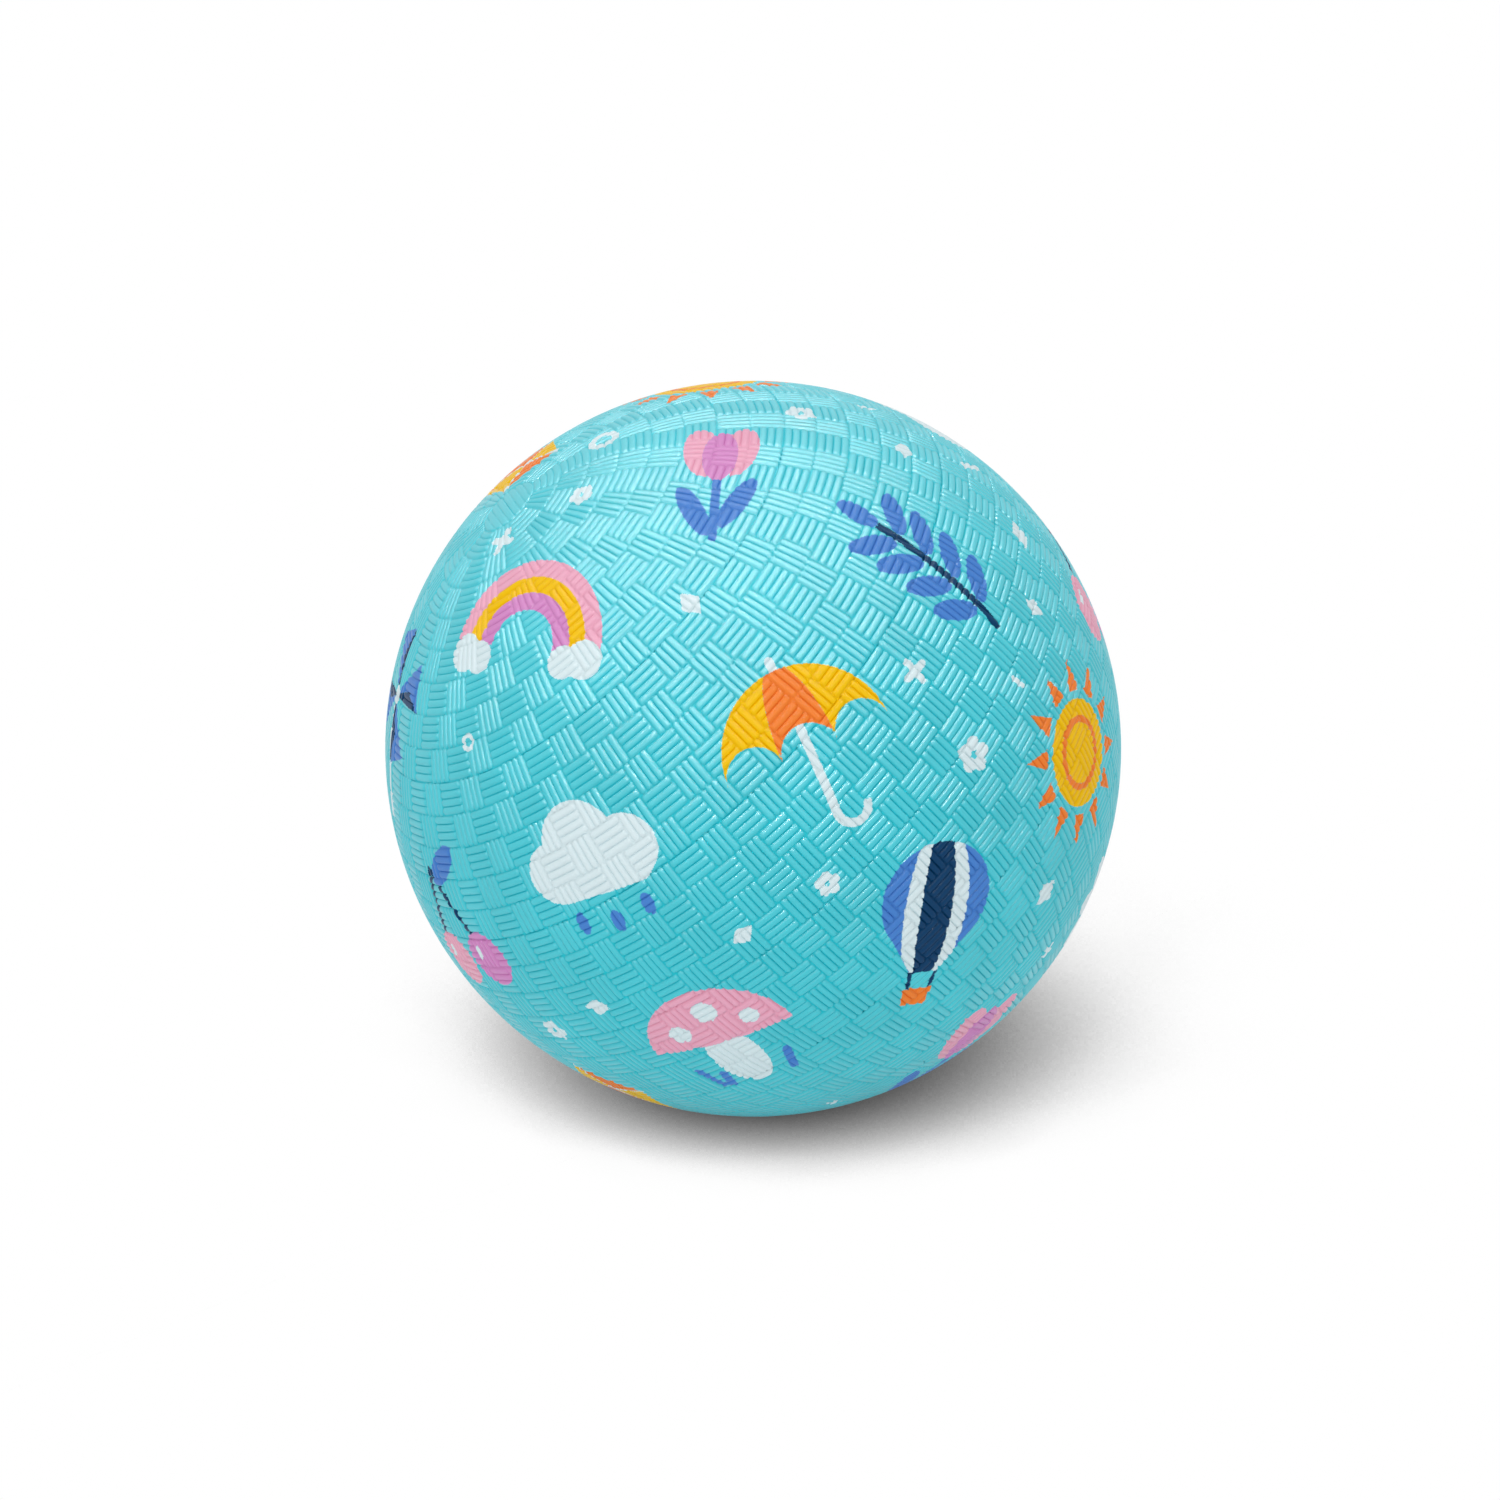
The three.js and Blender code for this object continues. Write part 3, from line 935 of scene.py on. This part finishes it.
# Each corner becomes a parabola that touches both sides at the same distance from the corner.
def roundProfile(points, closed):
    points = np.array(points)
    before = np.roll(points, 1, axis=0) - points
    after = np.roll(points, -1, axis=0) - points
    lengthBefore = np.linalg.norm(before, axis=1, keepdims=True)
    lengthAfter = np.linalg.norm(after, axis=1, keepdims=True)
    cut = np.minimum(np.minimum(lengthBefore, lengthAfter) * valve["roundRoom"], valve["round"])
    first = (points + before / lengthBefore * cut)[:, None]
    last = (points + after / lengthAfter * cut)[:, None]
    share = np.linspace(0, 1, valve["roundSteps"])[None, :, None]
    curve = (1 - share) ** 2 * first + 2 * share * (1 - share) * points[:, None] + share ** 2 * last
    if closed:
        return curve.reshape(-1, 2)
    return np.concatenate([points[:1], curve[1:-1].reshape(-1, 2), points[-1:]])


# Points of a profile on a sphere about the ball's centre, from one distance off the axis to another.
def sphereArc(radius, fromDistance, toDistance):
    distances = np.linspace(fromDistance, toDistance, valve["flangeSteps"])
    return list(zip(distances, np.sqrt(radius ** 2 - distances ** 2)))


# A profile turned about the axis. It is written with its material on the right, and taken backwards so that
# faces point out.
def turnedPiece(name, profile, closed, material, body, node):
    surface = newSurface()
    curve = roundProfile(profile, closed)[::-1]
    loops = profileLoops(surface, curve[:, 0], curve[:, 1], evenTurns(valve["turns"]))
    joinPath(surface, loops + loops[:1] if closed else loops)
    piece = makePiece(name, surface, valveSide)
    piece.data.materials.append(material)
    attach(piece, body)
    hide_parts(node)


flangeInside = valve["flangeOutside"] - valve["flangeWall"]
housingProfile = [
    (valve["boreRadius"], flangeInside - valve["stemLength"]),
    (valve["boreRadius"], rimHeight - valve["seatDepth"]),
    (valve["seatRadius"], rimHeight - valve["seatDepth"]),
    (valve["seatRadius"], rimHeight),
    (valve["neckRadius"], rimHeight),
    *sphereArc(valve["flangeOutside"], valve["neckRadius"], valve["flangeRadius"]),
    *sphereArc(flangeInside, valve["flangeRadius"], valve["neckRadius"]),
    (valve["neckRadius"], flangeInside - valve["stemLength"]),
]
plugEnd = rimHeight - valve["plugLength"]
plugProfile = [
    (0.0, rimHeight - valve["needleDepth"]),
    (valve["needleRadius"] / 2, rimHeight - valve["needleDepth"] * valve["needleWaist"]),
    (valve["needleRadius"], rimHeight),
    (valve["headRadius"], rimHeight),
    (valve["headRadius"], rimHeight - valve["headThickness"]),
    (valve["plugRadius"], rimHeight - valve["headThickness"]),
    (valve["plugRadius"], plugEnd + valve["plugChamfer"]),
    (valve["plugRadius"] - valve["plugChamfer"], plugEnd),
    (0.0, plugEnd),
]
housingRubber = makeBlackRubber("valve rubber, moulded")
plugRubber = makeBlackRubber("plug rubber, moulded")
turnedPiece("valveHousing", housingProfile, True, housingRubber, "ball", "valve_housing")
turnedPiece("valvePlug", plugProfile, False, plugRubber, "plug", "valve_plug")

# The layers under the cover keep their CAD shapes and get their materials.
butyl = makeBlackRubber("butyl rubber, talc dusted")
layers = {"nylon_winding": makeNylonThread(), "bladder": butyl, "valve_reinforcement": butyl}
for node, material in layers.items():
    layer = frame["nodes"][node]
    layer.data.materials.clear()
    layer.data.materials.append(material)
print("valve and layers made")

# Stage: a white floor with a painted shadow of the ball, soft light from in front and above, and a white
# room.
stage = {
    "floorHalf": 6.0,  # metres
    "floorDrop": 0.0002,  # metres under the ball
    "floorBounce": 0.9,  # share of light that the floor gives back to the ball
    "shadowLean": (45.0, -14.0),  # degrees of the shadow's light: towards the camera, turned to its right
    "shadowGain": 3.5,
    "shadowPower": 3.5,
    "shadowReach": 1.0,  # metres
    "shadowSamples": 16,
    "roomLight": 0.74,  # strength of the room's light on the ball
    "softboxDistance": 1.2,  # metres
}
# Softboxes: watts, size in metres, and degrees of elevation and of azimuth to the camera's right.
# The card counts only where the rubber mirrors it, as a white sheen on the ribs.
softboxes = {
    "frontSoftbox": {"power": 5.0, "size": 1.4, "elevation": 3.0, "azimuth": -10.0, "glossOnly": False},
    "topSoftbox": {"power": 4.0, "size": 1.0, "elevation": 80.0, "azimuth": -15.0, "glossOnly": False},
    "glossCard": {"power": 110.0, "size": 2.8, "elevation": 72.0, "azimuth": -15.0, "glossOnly": True},
}


# Sum of the rays that see a surface itself, not the light from it.
def seenRays(tree):
    path = addNode(tree, "LightPath")
    total = addNode(tree, "Math", {
        0: path.outputs["Is Camera Ray"], 1: path.outputs["Is Glossy Ray"]}, operation="ADD").outputs[0]
    return addNode(tree, "Math", {
        0: total, 1: path.outputs["Is Transmission Ray"]}, operation="ADD", use_clamp=True).outputs[0]


# A square floor. Where it is seen, it glows with a painted shadow: its tone is the share of the leaned sky
# that a point sees, to a power and times a gain. To light that bounces off it, it is a plain diffuse floor.
def makeFloor():
    half, drop = stage["floorHalf"], stage["floorDrop"]
    mesh = bpy.data.meshes.new("floor")
    corners = [(-half, -half, -drop), (half, -half, -drop), (half, half, -drop), (-half, half, -drop)]
    mesh.from_pydata(corners, [], [(0, 1, 2, 3)])
    floor = bpy.data.objects.new("floor", mesh)
    bpy.context.scene.collection.objects.link(floor)
    material, tree = newMaterial("studio floor, matt white")
    lean, side = (math.radians(angle) for angle in stage["shadowLean"])
    towards = addNode(tree, "CombineXYZ", {
        0: math.sin(lean) * math.sin(side), 1: -math.sin(lean) * math.cos(side), 2: math.cos(lean)})
    sky = addNode(tree, "AmbientOcclusion", {
        "Distance": stage["shadowReach"], "Normal": towards.outputs[0]},
        samples=stage["shadowSamples"]).outputs["AO"]
    fall = addNode(tree, "Math", {0: sky, 1: stage["shadowPower"]}, operation="POWER").outputs[0]
    tone = addNode(tree, "Math", {
        0: fall, 1: stage["shadowGain"]}, operation="MULTIPLY", use_clamp=True).outputs[0]
    seen = addNode(tree, "Emission", {"Strength": tone})
    lit = addNode(tree, "BsdfDiffuse", {"Color": [stage["floorBounce"]] * 3 + [1.0]})
    shader = addNode(tree, "MixShader", {0: seenRays(tree), 1: lit.outputs[0], 2: seen.outputs[0]})
    addNode(tree, "OutputMaterial", {"Surface": shader.outputs[0]})
    mesh.materials.append(material)


# White where it is seen, and a plain even light on the ball.
def makeRoom():
    world = bpy.data.worlds.new("white room")
    world.use_nodes = True
    tree = world.node_tree
    tree.nodes.clear()
    strength = addNode(tree, "MapRange", {0: seenRays(tree), 3: stage["roomLight"], 4: 1.0}).outputs[0]
    shader = addNode(tree, "Background", {"Color": (1.0, 1.0, 1.0, 1.0), "Strength": strength})
    addNode(tree, "OutputWorld", {"Surface": shader.outputs[0]})
    bpy.context.scene.world = world


# A point round the ball's centre, by its angles as the camera counts them, in metres.
def aroundBall(azimuth, elevation, distance):
    side, up = math.radians(azimuth), math.radians(elevation)
    way = np.array([math.sin(side) * math.cos(up), -math.cos(side) * math.cos(up), math.sin(up)])
    return ballCentre * metre + way * distance


# Puts a lamp or the camera there, facing the ball.
def aimAtBall(thing, azimuth, elevation, distance):
    thing.location = aroundBall(azimuth, elevation, distance)
    thing.rotation_euler = (math.radians(90 - elevation), 0.0, math.radians(azimuth))


def makeSoftboxes():
    for name, box in softboxes.items():
        lamp = bpy.data.lights.new(name, "AREA")
        lamp.shape = "DISK"
        lamp.size = box["size"]
        lamp.energy = box["power"]
        softbox = bpy.data.objects.new(name, lamp)
        bpy.context.scene.collection.objects.link(softbox)
        softbox.visible_diffuse = not box["glossOnly"]
        # With this on, rays that meet the card by chance would bring the rubber's own colour along too.
        lamp.cycles.use_multiple_importance_sampling = not box["glossOnly"]
        aimAtBall(softbox, box["azimuth"], box["elevation"], stage["softboxDistance"])


# Camera: the ball's outline has a radius of 368 pixels in the photograph's frame of 1500.
camera = {
    "elevation": 20.0,
    "distance": 12.0,  # in ball radii
    "framePixels": 1500,
    "outlinePixels": 368.0,
    "offsetPixels": (3.2, 1.3),  # ball's middle right of and above the frame's
    "sensor": 36.0,  # mm
}


def makeCamera():
    focalPixels = camera["outlinePixels"] * math.sqrt(camera["distance"] ** 2 - 1)
    data = bpy.data.cameras.new("camera")
    data.sensor_width = camera["sensor"]
    data.lens = camera["sensor"] * focalPixels / camera["framePixels"]
    data.shift_x = -camera["offsetPixels"][0] / camera["framePixels"]
    data.shift_y = -camera["offsetPixels"][1] / camera["framePixels"]
    viewer = bpy.data.objects.new("camera", data)
    bpy.context.scene.collection.objects.link(viewer)
    aimAtBall(viewer, 0.0, camera["elevation"], camera["distance"] * ball["radius"] * metre)
    bpy.context.scene.camera = viewer


makeFloor()
makeRoom()
makeSoftboxes()
makeCamera()
bpy.context.scene.view_settings.view_transform = "Standard"
print("stage, light and camera made")

bpy.context.view_layer.update()
